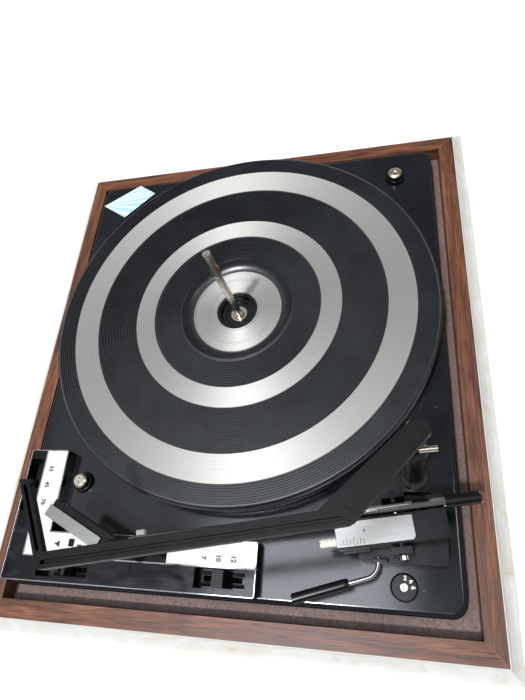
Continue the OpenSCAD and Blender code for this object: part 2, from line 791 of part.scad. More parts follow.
// post on the panel with a cradle: low on the inner side, a raised horn on the outer side
module arm_rest() {
    low = arm_z - tube_r - 0.5;
    color([0.93, 0.92, 0.88]) on_deck() translate([rest_x, rest_y, 0]) rotate([0, 0, arm_angle]) {
        translate([0, 0, panel_h]) cylinder(r1 = 3.6, r2 = 3, h = 2.5);
        block([-1.8, -2, panel_h], [1.8, 2, low - 1]);
        difference() {
            block([-6.5, -2.5, low - 3], [5.5, 2.5, low + 0.8]);
            translate([0, 4, arm_z]) rotate([90, 0, 0]) cylinder(r = tube_r + 0.5, h = 8);
            block([-7, -3, low], [0, 3, low + 2]);
        }
        block([3.6, -2.9, low], [6.2, 2.9, low + 8.5]);
        // diagonal brace on the inner side
        translate([0, 1.2, 0]) rotate([90, 0, 0]) linear_extrude(2.4)
            polygon([[-1.8, low - 14], [-1.8, low - 6], [-4.2, low - 2.9], [-6.5, low - 2.9]]);
    }
}

// box on the deck that carries the arm's vertical bearing and the cueing platform
module arm_pedestal() {
    color([0.06, 0.06, 0.065]) on_deck() difference() {
        union() {
            translate([0, 0, 0]) linear_extrude(pedestal_h) round_rect(125.5, 84, 161.5, 131, 2);
            translate([arm_xy.x, arm_xy.y, -24]) cylinder(r = 5, h = 25);
            // ear that carries the cue lever's shaft
            block([159.5, 92, pedestal_h - 1], [161.5, 99.6, pedestal_h + 5]);
        }
        translate([0, 0, -1]) linear_extrude(pedestal_h - 1) difference() {
            round_rect(127.5, 86, 159.5, 129, 1);
            translate([arm_xy.x, arm_xy.y]) circle(6);
        }
        translate([arm_xy.x, arm_xy.y, -40]) cylinder(r = 3 + slip, h = 80);
        translate([150, cue_y, cue_z]) rotate([0, 90, 0]) cylinder(r = cue_r + slip, h = 20);
    }
}

// bent wire: shaft along x, a quarter bend, then a straight run towards the front
module cue_lever() {
    turn = abs(cue_angle);
    color([0.85, 0.85, 0.84]) on_deck() translate([cue_bend_x, cue_y, cue_z]) {
        translate([-2.8, 0, 0]) rotate([0, 90, 0]) cylinder(r = cue_r, h = 3.1);
        translate([0, -cue_bend, 0]) rotate([0, 0, 90 - turn]) rotate_extrude(angle = turn)
            translate([cue_bend, 0]) circle(cue_r - 0.03);
        translate([0, -cue_bend, 0]) rotate([0, 0, cue_angle]) translate([-0.3, cue_bend, 0])
            rotate([0, 90, 0]) cylinder(r = cue_r, h = cue_run);
    }
}

module cue_handle() {
    color([0.05, 0.05, 0.05]) on_deck() translate([cue_bend_x, cue_y - cue_bend, cue_z])
        rotate([0, 0, cue_angle]) translate([cue_run - cue_grip, cue_bend, 0])
        rotate([0, 90, 0]) difference() {
            union() {
                cylinder(r1 = 2.6, r2 = 2.9, h = 3);
                translate([0, 0, 3 - eps]) cylinder(r = 2.9, h = cue_handle_l - 3);
            }
            translate([0, 0, -1]) cylinder(r = cue_r, h = cue_grip + 0.7);
        }
}

module antiskate_dial() {
    color([0.05, 0.05, 0.055]) on_deck() translate([dial_xy.x, dial_xy.y, 0]) difference() {
        union() {
            translate([0, 0, gap]) cylinder(r = 7.4, h = 3);
            translate([0, 0, gap + 3 - eps]) cylinder(r1 = 7.4, r2 = 6.4, h = 1.2);
            translate([0, 0, -6]) cylinder(r = 2, h = 7);
        }
        translate([0, 0, gap + 3.4]) cylinder(r = 2.5, h = 3);
    }
}

module dial_screw() {
    color("silver") on_deck() translate([dial_xy.x, dial_xy.y, gap + 3.4]) difference() {
        cylinder(r1 = 2.3, r2 = 2.1, h = 1.5);
        translate([-3, -0.3, 0.9]) cube([6, 0.6, 2]);
    }
}

// ---------- tonearm ----------

// turning fork with a cheek on each side of the arm
module arm_yoke() {
    color([0.1, 0.1, 0.105]) on_arm() difference() {
        union() {
            translate([0, 0, -30]) cylinder(r = 3, h = 31 + yoke_z0);
            translate([0, 0, yoke_z0]) cylinder(r = 9, h = 2.4);
            block([-10.5, -6, yoke_z0], [23, 6, yoke_z0 + 2.4]);
            translate([0, 6, 0]) rotate([90, 0, 0]) linear_extrude(12)
                polygon([[-10.5, yoke_z0], [-5, yoke_z0], [-5, arm_z + 3], [-7.5, arm_z + 3]]);
            block([19.5, -5, yoke_z0], [23, 5, arm_z + 2.5]);
        }
        translate([-12, 0, arm_z]) rotate([0, 90, 0]) cylinder(r = trunnion_r + slip, h = 40);
    }
}

// one straight tube with the trunnion through it
module arm_tube() {
    color([0.86, 0.86, 0.84]) on_arm() {
        difference() {
            translate([0, 26, arm_z]) rotate([90, 0, 0]) cylinder(r = tube_r, h = 26 + arm_reach);
            translate([0, -20, arm_z]) rotate([90, 0, 0]) cylinder(r = tube_r - 0.7, h = arm_reach);
            // bore for the counterweight's spigot
            translate([0, 26 + eps, arm_z]) rotate([90, 0, 0]) cylinder(r = 1.6 + slip, h = 3);
        }
        translate([-9, 0, arm_z]) rotate([0, 90, 0]) cylinder(r = trunnion_r, h = block_x[0] + 9);
        translate([block_x[1], 0, arm_z]) rotate([0, 90, 0]) cylinder(r = trunnion_r, h = 6.5);
        translate([block_x[1] + 6.2, 0, arm_z]) rotate([0, 90, 0]) cylinder(r = 2.4, h = 2);
    }
}

// block beside the tube that holds the stylus-force spring
module arm_housing() {
    x0 = block_x[0];
    x1 = block_x[1];
    color([0.06, 0.06, 0.065]) on_arm() difference() {
        union() {
            block([x0, block_y[0], block_z[0]], [x1, block_y[1], block_z[1]]);
            block([-tube_r - 1.4, block_y[1] - 8, block_z[0] + 3], [x0 + eps, block_y[1], arm_z + 1]);
            block([x1 - eps, -30, block_z[0] + 1], [x1 + 1.4, -16, block_z[0] + 8]);
        }
        translate([0, block_y[1] + 5, arm_z]) rotate([90, 0, 0]) cylinder(r = tube_r, h = 30);
        block([x0 + 2, block_y[0] + 3, block_z[0] - 1], [x1 - 2, block_y[1] - 3, block_z[1] - 5]);
        translate([adjuster_x, block_y[0] + 4, adjuster_z]) rotate([90, 0, 0])
            cylinder(r = 1.5 + slip, h = 10);
    }
}

module force_scale() {
    color([0.85, 0.85, 0.85]) on_arm() translate([0, 0, block_z[1]]) linear_extrude(0.5)
        polygon([[block_x[0] + 1.2, block_y[0] - 0.3], [block_x[1] - 0.8, block_y[0] - 0.3],
                 [block_x[1] - 0.8, 6.6], [block_x[1] - 2.2, 8], [block_x[0] + 1.2, 8]]);
}

module force_adjuster() {
    color([0.88, 0.87, 0.84]) on_arm() translate([adjuster_x, 0, adjuster_z]) rotate([90, 0, 0]) {
        translate([0, 0, -block_y[0] - 2.6]) cylinder(r = 1.5, h = 4);
        difference() {
            translate([0, 0, -block_y[0] + gap]) cylinder(r = 2.1, h = 9.4);
            translate([-0.4, -3, -block_y[0] + gap + 8.6]) cube([0.8, 6, 3]);
        }
        for (i = [0:3]) translate([0, 0, -block_y[0] + gap + 1 + i * 2]) cylinder(r = 2.35, h = 1);
    }
}

// shell of the head: neck round the tube's end, then the angled body, open below
module headshell() {
    left = -head_w / 2 - head_step;
    color([0.05, 0.05, 0.05]) {
        on_arm() difference() {
            translate([0, -arm_reach + 2, arm_z]) rotate([90, 0, 0]) cylinder(r = tube_r + 0.6, h = 12);
            translate([0, -arm_reach + 10, arm_z]) rotate([90, 0, 0]) cylinder(r = tube_r, h = 10);
        }
        on_head() difference() {
            union() {
                block([left, -head_len, head_low], [head_w / 2, head_back, head_top - 1.6]);
                block([-head_w / 2, -head_len, head_top - 2], [head_w / 2, 0, head_top - 0.5]);
            }
            block([left + 1.2, -head_len + 1.2, head_low - 1], [head_w / 2 - 1.2, -2, head_top - 3.2]);
        }
    }
}

// bright plate on top of the head
module head_plate() {
    color([0.85, 0.85, 0.85]) on_head()
        block([-head_w / 2, -head_len - 0.4, head_top - 0.5], [head_w / 2, 0, head_top]);
}

module cartridge() {
    low = stylus_z + 3.4;
    x = -head_w / 2 + 0.2;
    front = -head_len + 4;
    color([0.8, 0.79, 0.74]) on_head() {
        block([x - 3, front, low], [x + 5, front + 19, head_top - 3.2]);
        translate([x, front, 0]) rotate([90, 0, 180]) linear_extrude(13)
            polygon([[-1.6, low + eps], [-1.1, low - 1.2], [1.1, low - 1.2], [1.6, low + eps]]);
        translate([x, front + 1.4, stylus_z]) cylinder(r1 = 0.12, r2 = 0.5, h = 3);
    }
}

module counterweight() {
    color([0.07, 0.07, 0.075]) on_arm() translate([0, 26 + gap, arm_z]) rotate([-90, 0, 0]) difference() {
        union() {
            cylinder(r = 3.4, h = arm_end - 27);
            translate([0, 0, arm_end - 27 - eps]) cylinder(r1 = 3.4, r2 = 2.6, h = 1);
            translate([0, 0, -2.5]) cylinder(r = 1.6, h = 3);
        }
        translate([0, 0, arm_end - 26 - 1]) cylinder(r = 1.4, h = 3);
    }
}

// ---------- overarm ----------

module overarm_post() {
    color([0.08, 0.08, 0.085]) on_deck() translate([over_post_xy.x, over_post_xy.y, 0]) difference() {
        union() {
            translate([0, 0, -20]) cylinder(r = 5, h = 20 + over_z - over_drop - 6);
            cylinder(r = 8, h = 2.5);
            translate([0, 0, over_z - over_drop - 12]) cylinder(r = 6.2, h = 6);
        }
        translate([0, 0, -40]) cylinder(r = 3 + slip, h = 200);
    }
}

module overarm_shaft() {
    color("silver") on_deck() translate([over_post_xy.x, over_post_xy.y, 0]) {
        translate([0, 0, -16]) cylinder(r = 3, h = 16 + over_z - 1);
        translate([0, 0, over_z - 3]) cylinder(r = 5.5, h = 2.6);
        translate([0, 0, over_z - 1.5]) cylinder(r = 2.5, h = 4.7);
        // lug with the lifting pin
        rotate([0, 0, 25]) block([0, -1, over_z - 4.6], [8, 1, over_z - 2.8]);
        translate([6.9, 8.5, over_z - 3.9]) rotate([90, 0, 6]) cylinder(r = 1.45, h = 8);
    }
}

function direction(a, b) = (b - a) / norm(b - a);
function square_to(d) = [-d.y, d.x];

// ribbed bar: two legs, a web towards the post, and a small foot at the tip
module overarm() {
    post = over_post_xy;
    top = over_z + over_t;
    edge = direction(over_elbow, over_end);
    inward = square_to(edge);
    color([0.13, 0.13, 0.135]) on_deck() difference() {
        union() {
            bar(over_corner, over_bend, over_w, over_z, top);
            bar(over_corner, over_tip, over_foot_w, top - over_foot_t, top - 0.3, false);
            // web with a raised rib along its outer edge
            translate([0, 0, top - 3.2]) linear_extrude(2.2)
                polygon([over_elbow + inward, over_end + inward, [110.3, 120.9], [107.4, 117.1],
                         [107.8, 113.9], [148.3, 73.6], [152, 73.6]]);
            bar(over_elbow + 1.3 * inward + 1.2 * edge, over_end + 1.3 * inward - 1.4 * edge, 2.6,
                over_z + 0.6, top);
            translate([post.x, post.y, over_z]) cylinder(r = 4.2, h = over_t - 1.5);
            // foot plate
            block([over_tip.x - 1.6, over_tip.y - 3, top - 3.1],
                  [over_tip.x + 0.5, over_tip.y + 4.4, top - 0.4]);
        }
        groove(over_corner, over_bend, 1.9, -0.8, 1.5);
        groove(over_corner, over_tip, 1.7, 0, 5.5);
        translate([post.x, post.y, over_z - 1]) cylinder(r = 2.5 + slip, h = 4.7);
    }
}

// groove along a leg, off to the side of its centre line, that starts a little way from the corner
module groove(a, b, w, off, start) {
    d = direction(a, b);
    side = off * square_to(d);
    bar(a + start * d + side, b - 2 * d + side, w, over_z + over_t - 2.5, over_z + over_t + 1);
}

wall_front();
wall_back();
wall_left();
wall_right();
moulding_front();
moulding_back();
moulding_left();
moulding_right();
motor_board_front();
motor_board_back();
motor_board_sides();
base_board();
base_screws();
feet();
cord_grommet();
suspension_springs();
transit_screws();
deck_plate();
screw_collars();
bearing_post();
thrust_race();
control_panel();
panel_trim();
scale_plates();
arm_rest();
arm_pedestal();
overarm_post();
motor_stack();
motor_coil();
cam_gear();
idler_arm();
platter_pan();
platter_mat();
mat_rings();
centre_disc();
platter_hub();
idler_wheel();
idler_tyre();
motor_rotor();
motor_pulley();
stack_spindle();
record_pawl();
speed_lever();
size_lever();
start_lever();
cue_lever();
cue_handle();
antiskate_dial();
dial_screw();
arm_yoke();
arm_tube();
arm_housing();
force_scale();
force_adjuster();
headshell();
head_plate();
cartridge();
counterweight();
overarm_shaft();
overarm();
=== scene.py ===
import json
import math

import bmesh
import bpy
from mathutils import Matrix, Vector

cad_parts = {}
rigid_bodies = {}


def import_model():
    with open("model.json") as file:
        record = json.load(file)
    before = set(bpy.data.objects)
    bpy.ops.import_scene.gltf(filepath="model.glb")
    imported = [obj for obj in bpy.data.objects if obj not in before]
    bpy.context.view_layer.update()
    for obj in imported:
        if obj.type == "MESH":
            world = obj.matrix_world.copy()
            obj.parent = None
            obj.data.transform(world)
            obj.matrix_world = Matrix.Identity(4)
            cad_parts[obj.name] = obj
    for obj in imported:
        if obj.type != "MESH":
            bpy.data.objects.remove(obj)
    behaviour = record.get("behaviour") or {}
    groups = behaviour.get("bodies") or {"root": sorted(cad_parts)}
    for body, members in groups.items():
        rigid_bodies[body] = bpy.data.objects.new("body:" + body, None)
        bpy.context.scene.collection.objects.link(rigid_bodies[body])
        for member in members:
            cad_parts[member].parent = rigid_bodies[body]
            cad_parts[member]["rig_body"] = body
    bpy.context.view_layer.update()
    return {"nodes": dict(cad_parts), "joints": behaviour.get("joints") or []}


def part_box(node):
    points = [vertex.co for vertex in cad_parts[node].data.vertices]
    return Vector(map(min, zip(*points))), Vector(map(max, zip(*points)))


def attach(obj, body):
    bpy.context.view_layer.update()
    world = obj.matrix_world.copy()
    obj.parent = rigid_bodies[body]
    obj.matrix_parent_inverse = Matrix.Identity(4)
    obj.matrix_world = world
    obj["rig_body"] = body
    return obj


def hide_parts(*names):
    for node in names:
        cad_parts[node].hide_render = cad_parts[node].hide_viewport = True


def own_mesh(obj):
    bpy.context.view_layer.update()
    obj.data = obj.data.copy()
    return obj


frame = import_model()
nodes = frame["nodes"]
joints = {joint["name"]: joint for joint in frame["joints"]}
MM = 0.001
RINGS = ((60.6, 74.7), (104.8, 123.2))  # inner and outer radius of the mat's bright rings, mm
KEY_FROM = Vector((0.35, -0.17, 1))  # towards the key light

# ---------- places, all from the frame ----------

mat_low, mat_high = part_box("platter_mat")
AXIS = Vector(((mat_low.x + mat_high.x) / 2, (mat_low.y + mat_high.y) / 2, 0))
DECK_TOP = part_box("screw_collars")[0].z
ARM_PIVOT = Vector(joints["arm_swing"]["pos_m"])
ARM_RIGHT = -Vector(joints["arm_lift"]["axis"])
ARM_BACK = Vector((-ARM_RIGHT.y, ARM_RIGHT.x, 0))


def deck_point(x, y, z):
    """A point in millimetres from the platter's axis and the deck's top face."""
    return Vector((AXIS.x + x * MM, AXIS.y + y * MM, DECK_TOP + z * MM))


def arm_point(x, y, z):
    """A point in millimetres in the tonearm's frame: x to its right, y to its rear, z above the deck."""
    place = ARM_PIVOT + ARM_RIGHT * x * MM + ARM_BACK * y * MM
    place.z = DECK_TOP + z * MM
    return place


# ---------- camera ----------

def make_camera():
    data = bpy.data.cameras.new("camera")
    data.lens = 27.05
    data.sensor_width = 36.0
    data.clip_start = 0.01
    camera = bpy.data.objects.new("camera", data)
    bpy.context.scene.collection.objects.link(camera)
    place = Vector((159.05, 107.2, 426.4)) * MM
    aim = Vector((10.6, 21.9, 122.6)) * MM
    roll = math.radians(4.28)
    page_up = Vector((-math.cos(roll), -math.sin(roll), 0))
    back = (place - aim).normalized()
    right = page_up.cross(back).normalized()
    up = back.cross(right)
    camera.matrix_world = Matrix(((right.x, up.x, back.x, place.x),
                                  (right.y, up.y, back.y, place.y),
                                  (right.z, up.z, back.z, place.z),
                                  (0, 0, 0, 1)))
    bpy.context.scene.camera = camera


make_camera()

# ---------- materials ----------


def srgb(r, g, b):
    """Screen colour from 0 to 255 as a linear RGBA colour."""
    def linear(v):
        v /= 255
        return v / 12.92 if v <= 0.04045 else ((v + 0.055) / 1.055) ** 2.4
    return (linear(r), linear(g), linear(b), 1.0)


class Paint:
    """A material: a Principled shader, and helpers that add procedural detail to it."""

    def __init__(self, name, color, roughness, metallic=0.0, **sockets):
        self.material = bpy.data.materials.new(name)
        self.material.use_nodes = True
        self.tree = self.material.node_tree
        self.shader = self.tree.nodes["Principled BSDF"]
        self.shader.inputs["Base Color"].default_value = color
        self.shader.inputs["Roughness"].default_value = roughness
        self.shader.inputs["Metallic"].default_value = metallic
        self.material.diffuse_color = color
        for socket, value in sockets.items():
            self.shader.inputs[socket.replace("_", " ")].default_value = value

    def node(self, kind, inputs=None, **settings):
        made = self.tree.nodes.new(kind)
        for name, value in settings.items():
            setattr(made, name, value)
        for key, value in (inputs or {}).items():
            if isinstance(value, bpy.types.NodeSocket):
                self.tree.links.new(value, made.inputs[key])
            else:
                made.inputs[key].default_value = value
        return made

    def link(self, output, socket):
        self.tree.links.new(output, self.shader.inputs[socket])
        return self

    def position(self, stretch=(1, 1, 1), turn=(0, 0, 0)):
        """Object coordinates in metres, stretched."""
        coordinates = self.node("ShaderNodeTexCoord")
        mapped = self.node("ShaderNodeMapping", {0: coordinates.outputs["Object"]})
        mapped.inputs["Scale"].default_value = stretch
        mapped.inputs["Rotation"].default_value = turn
        return mapped.outputs[0]

    def noise(self, size, stretch=(1, 1, 1), detail=3.0, warp=0.0, turn=(0, 0, 0)):
        """Noise with features of about size millimetres."""
        made = self.node("ShaderNodeTexNoise", {"Vector": self.position(stretch, turn)})
        made.inputs["Scale"].default_value = 1 / (size * MM)
        made.inputs["Detail"].default_value = detail
        made.inputs["Distortion"].default_value = warp
        return made.outputs[0]

    def ramp(self, value, *stops):
        made = self.node("ShaderNodeValToRGB", {0: value})
        elements = made.color_ramp.elements
        while len(elements) < len(stops):
            elements.new(0.5)
        for element, (place, color) in zip(elements, stops):
            element.position = place
            element.color = color if len(color) == 4 else (*color, 1)
        return made.outputs[0]

    def scaled(self, value, low, high, start=0.0, end=1.0):
        made = self.node("ShaderNodeMapRange", {0: value})
        made.inputs["From Min"].default_value = start
        made.inputs["From Max"].default_value = end
        made.inputs["To Min"].default_value = low
        made.inputs["To Max"].default_value = high
        return made.outputs[0]

    def math(self, operation, a, b=0.0):
        made = self.node("ShaderNodeMath", operation=operation)
        for i, value in enumerate((a, b)):
            if isinstance(value, bpy.types.NodeSocket):
                self.tree.links.new(value, made.inputs[i])
            else:
                made.inputs[i].default_value = value
        return made.outputs[0]

    def mixed(self, factor, a, b, kind="MIX"):
        made = self.node("ShaderNodeMix", data_type="RGBA", blend_type=kind)
        for key, value in ((0, factor), (6, a), (7, b)):
            if isinstance(value, bpy.types.NodeSocket):
                self.tree.links.new(value, made.inputs[key])
            else:
                made.inputs[key].default_value = value
        return made.outputs[2]

    def specks(self, spacing, size):
        """1 on sparse round dots of about size millimetres, spacing millimetres apart, else 0."""
        cells = self.node("ShaderNodeTexVoronoi", {"Vector": self.position()})
        cells.inputs["Scale"].default_value = 1 / (spacing * MM)
        return self.math("LESS_THAN", cells.outputs["Distance"], size / spacing / 2)

    def radius(self):
        """Distance from the platter's axis, in metres."""
        centred = self.node("ShaderNodeVectorMath", {0: self.position()}, operation="SUBTRACT")
        centred.inputs[1].default_value = AXIS
        flat = self.node("ShaderNodeVectorMath", {0: centred.outputs[0]}, operation="MULTIPLY")
        flat.inputs[1].default_value = (1, 1, 0)
        return self.node("ShaderNodeVectorMath", {0: flat.outputs[0]}, operation="LENGTH").outputs["Value"]

    def bump(self, height, depth):
        """Bump of depth millimetres; a second one lies on top of the first."""
        normal = self.shader.inputs["Normal"]
        made = self.node("ShaderNodeBump", {"Height": height})
        made.inputs["Distance"].default_value = depth * MM
        made.inputs["Strength"].default_value = 1.0
        if normal.is_linked:
            self.tree.links.new(normal.links[0].from_socket, made.inputs["Normal"])
        return self.link(made.outputs[0], "Normal")


def walnut(name, along):
    """Open-pored walnut veneer with its grain along x or y."""
    paint = Paint(name, srgb(118, 76, 57), 0.45, Specular_IOR_Level=0.35, Coat_Weight=0.1,
                  Coat_Roughness=0.3)
    stretch = {"x": (0.07, 1, 1), "y": (1, 0.07, 1)}[along]
    fine = {"x": (0.035, 1, 1), "y": (1, 0.035, 1)}[along]
    figure = paint.noise(3.4, stretch, detail=6, warp=0.8)
    color = paint.ramp(figure, (0.3, srgb(72, 42, 30)), (0.45, srgb(99, 61, 43)),
                       (0.57, srgb(117, 73, 52)), (0.75, srgb(143, 94, 68)))
    pores = paint.noise(0.55, fine, detail=2)
    dark = paint.scaled(pores, 0.0, 0.8, 0.5, 0.68)
    color = paint.mixed(dark, color, srgb(50, 29, 23))
    broad = paint.scaled(paint.noise(60, detail=1), 0.82, 1.15, 0.3, 0.7)
    tone = paint.node("ShaderNodeHueSaturation", {"Color": color, "Value": broad})
    paint.link(tone.outputs[0], "Base Color")
    paint.link(paint.scaled(figure, 0.34, 0.52), "Roughness")
    return paint.bump(pores, -0.06)


def moulding_cream():
    paint = Paint("cream", srgb(214, 210, 196), 0.3, Coat_Weight=0.3, Coat_Roughness=0.15)
    stain = paint.noise(16, (1, 1, 2.5), detail=5, warp=0.8)
    color = paint.ramp(stain, (0.4, srgb(206, 206, 203)), (0.66, srgb(200, 198, 190)),
                       (0.76, srgb(184, 174, 148)), (0.88, srgb(158, 138, 100)))
    height = paint.node("ShaderNodeSeparateXYZ", {0: paint.position()}).outputs[2]
    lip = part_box("moulding_front")[1].z
    near_lip = paint.scaled(height, 0.0, 1.0, lip - 14 * MM, lip - 4 * MM)
    color = paint.mixed(paint.math("MULTIPLY", near_lip, paint.scaled(stain, 0.0, 0.35, 0.45, 0.7)),
                        color, srgb(192, 180, 146))
    marks = paint.specks(23, 0.7)
    paint.link(paint.mixed(paint.math("MULTIPLY", marks, 0.6), color, srgb(120, 98, 70)), "Base Color")
    paint.link(paint.scaled(paint.noise(9, detail=4), 0.22, 0.42), "Roughness")
    return paint.bump(paint.noise(4, detail=2), 0.05)


def deck_black():
    """Satin black paint with dust on it."""
    paint = Paint("deck_paint", srgb(26, 29, 33), 0.22, Specular_IOR_Level=0.62)
    grain = paint.noise(0.5, detail=2)
    mottled = paint.ramp(paint.noise(30, detail=4), (0.3, srgb(13, 15, 18)), (0.7, srgb(21, 24, 28)))
    dust = paint.math("MAXIMUM", paint.specks(2.6, 0.3), paint.specks(15, 0.8))
    faded = paint.math("MULTIPLY", dust, paint.scaled(paint.noise(24, detail=1), 0.15, 0.6, 0.35, 0.62))
    paint.link(paint.mixed(faded, mottled, srgb(158, 158, 156)), "Base Color")
    paint.link(paint.scaled(paint.noise(12, detail=5), 0.11, 0.2), "Roughness")
    return paint.bump(grain, 0.008)


def dark_plastic(name, shade, roughness, grain=0.02, dust=0.25, specular=0.3):
    """Black moulded plastic with a fine grain, slight greying and a little dust."""
    paint = Paint(name, srgb(shade, shade, shade + 2), roughness, Specular_IOR_Level=specular)
    worn = paint.ramp(paint.noise(7, detail=5), (0.35, srgb(shade, shade, shade + 2)),
                      (0.75, srgb(shade + 8, shade + 8, shade + 10)))
    marks = paint.math("MULTIPLY", paint.specks(5, 0.25), dust)
    paint.link(paint.mixed(marks, worn, srgb(170, 168, 162)), "Base Color")
    paint.link(paint.scaled(paint.noise(5, detail=4), roughness * 0.8, roughness * 1.25), "Roughness")
    return paint.bump(paint.noise(0.35, detail=2), grain)


def gloss_panel():
    """Polished black with smears and fine wiping marks."""
    paint = Paint("gloss_black", srgb(12, 14, 17), 0.1, Specular_IOR_Level=0.42)
    smear = paint.noise(14, (1, 0.35, 1), detail=6, warp=1.5)
    wiped = paint.noise(1.2, (1, 0.08, 1), detail=3)
    paint.link(paint.ramp(smear, (0.4, srgb(7, 8, 11)), (0.72, srgb(22, 24, 29))), "Base Color")
    rough = paint.math("ADD", paint.scaled(smear, 0.05, 0.28, 0.35, 0.7), paint.scaled(wiped, 0.0, 0.06))
    return paint.link(rough, "Roughness")


def spun_metal():
    """Aluminium brushed in circles round the platter's axis."""
    paint = Paint("spun_aluminium", srgb(190, 189, 185), 0.5, 0.78, Anisotropic=0.68,
                  Anisotropic_Rotation=0.25)
    lines = paint.node("ShaderNodeTexNoise", {"W": paint.radius()}, noise_dimensions="1D")
    lines.inputs["Scale"].default_value = 1 / (0.45 * MM)
    lines.inputs["Detail"].default_value = 4
    shade = paint.ramp(lines.outputs[0], (0.3, srgb(171, 170, 166)), (0.7, srgb(195, 194, 190)))
    hazy = paint.mixed(paint.scaled(paint.noise(26, detail=4), 0.0, 0.35, 0.4, 0.75), shade,
                       srgb(184, 179, 171))
    paint.link(hazy, "Base Color")
    paint.link(paint.scaled(lines.outputs[0], 0.54, 0.66), "Roughness")
    tangent = paint.node("ShaderNodeTangent", direction_type="RADIAL", axis="Z")
    paint.link(tangent.outputs[0], "Tangent")
    return paint.bump(lines.outputs[0], 0.008)


def bright_metal(name, color, roughness, tarnish, size=6.0, scratch=(1, 0.1, 1)):
    """Polished or plated metal with tarnish in patches and fine scratches."""
    paint = Paint(name, color, roughness, 1.0)
    patches = paint.noise(size, detail=5)
    paint.link(paint.ramp(patches, (0.42, color), (0.78, tarnish)), "Base Color")
    lines = paint.noise(0.5, scratch, detail=2)
    rough = paint.math("ADD", paint.scaled(patches, roughness * 0.7, roughness * 1.4),
                       paint.scaled(lines, -0.02, 0.03))
    paint.link(rough, "Roughness")
    return paint.bump(lines, 0.001)


def brushed(name, color, roughness, along):
    """Flat metal brushed along x or y."""
    paint = Paint(name, color, roughness, 1.0)
    stretch = {"x": (0.03, 1, 1), "y": (1, 0.03, 1)}[along]
    lines = paint.noise(0.28, stretch, detail=4, turn=(0, 0, 0))
    paint.link(paint.ramp(lines, (0.3, tuple(0.86 * c for c in color[:3])), (0.7, color)), "Base Color")
    paint.link(paint.scaled(lines, roughness * 0.8, roughness * 1.3), "Roughness")
    return paint.bump(lines, 0.01)


def white_lacquer():
    paint = Paint("scale_white", srgb(232, 231, 226), 0.35, Coat_Weight=0.2, Coat_Roughness=0.2)
    soiled = paint.noise(11, detail=5)
    color = paint.ramp(soiled, (0.45, srgb(217, 216, 212)), (0.8, srgb(198, 194, 183)))
    paint.link(paint.mixed(paint.math("MULTIPLY", paint.specks(9, 0.3), 0.4), color, srgb(120, 116, 108)),
               "Base Color")
    paint.link(paint.scaled(soiled, 0.28, 0.45), "Roughness")
    return paint.bump(paint.noise(0.5, detail=2), 0.006)


def white_nylon():
    paint = Paint("nylon", srgb(228, 226, 214), 0.42, Subsurface_Weight=0.15)
    paint.shader.inputs["Subsurface Radius"].default_value = (0.002, 0.0018, 0.0014)
    paint.link(paint.ramp(paint.noise(4, detail=4), (0.4, srgb(232, 230, 220)), (0.8, srgb(208, 203, 184))),
               "Base Color")
    paint.link(paint.scaled(paint.noise(3, detail=3), 0.35, 0.5), "Roughness")
    return paint.bump(paint.noise(1, detail=2), 0.02)


def bare_board(name, dark, light, along_z=1.0):
    """Chipboard or hardboard: fine chips and fibres."""
    paint = Paint(name, light, 0.75)
    chips = paint.noise(1.6, (1, 1, along_z), detail=5, warp=0.5)
    broad = paint.noise(35, detail=2)
    patches = paint.scaled(broad, 0.0, 0.5, 0.3, 0.7)
    color = paint.mixed(patches, paint.ramp(chips, (0.3, dark), (0.7, light)), dark)
    paint.link(color, "Base Color")
    paint.link(paint.scaled(chips, 0.6, 0.85), "Roughness")
    return paint.bump(chips, 0.08)


def mat_black():
    """Black rubber of the mat, greyed by dust that lies in the ribs."""
    paint = Paint("mat_rubber", srgb(22, 24, 27), 0.3, Specular_IOR_Level=0.7)
    dusty = paint.noise(22, detail=5, warp=0.6)
    paint.link(paint.ramp(dusty, (0.35, srgb(17, 19, 22)), (0.75, srgb(31, 34, 38))), "Base Color")
    paint.link(paint.scaled(paint.noise(9, detail=4), 0.26, 0.38), "Roughness")
    return paint.bump(paint.noise(0.4, detail=2), 0.01)


def winding():
    """Varnished copper wire, turn beside turn, with painted shading: darker in the grooves between turns,
    lighter on their crests.
    """
    paint = Paint("copper", srgb(150, 84, 48), 0.35, 0.8)
    turns_and_painted_shade = paint.node("ShaderNodeTexWave", {0: paint.position()}, bands_direction="X")
    turns_and_painted_shade.inputs["Scale"].default_value = 1 / (2.4 * MM)
    turns_and_painted_shade.inputs["Distortion"].default_value = 0.6
    # painted shading: copper darker in the grooves between turns, lighter on the crests
    paint.link(paint.ramp(turns_and_painted_shade.outputs[1], (0.1, srgb(86, 42, 22)), (0.7, srgb(184, 110, 66))), "Base Color")
    paint.link(paint.scaled(paint.noise(4), 0.28, 0.5), "Roughness")
    return paint.bump(turns_and_painted_shade.outputs[1], 0.15)


def printed(name, color, roughness=0.5):
    """Screen-printed ink, slightly uneven."""
    paint = Paint(name, color, roughness)
    uneven = paint.noise(0.6, detail=3)
    lighter = tuple(c * 1.3 + 0.01 for c in color[:3])
    paint.link(paint.ramp(uneven, (0.4, color), (0.85, lighter)), "Base Color")
    return paint.link(paint.scaled(uneven, roughness * 0.85, roughness * 1.15), "Roughness")


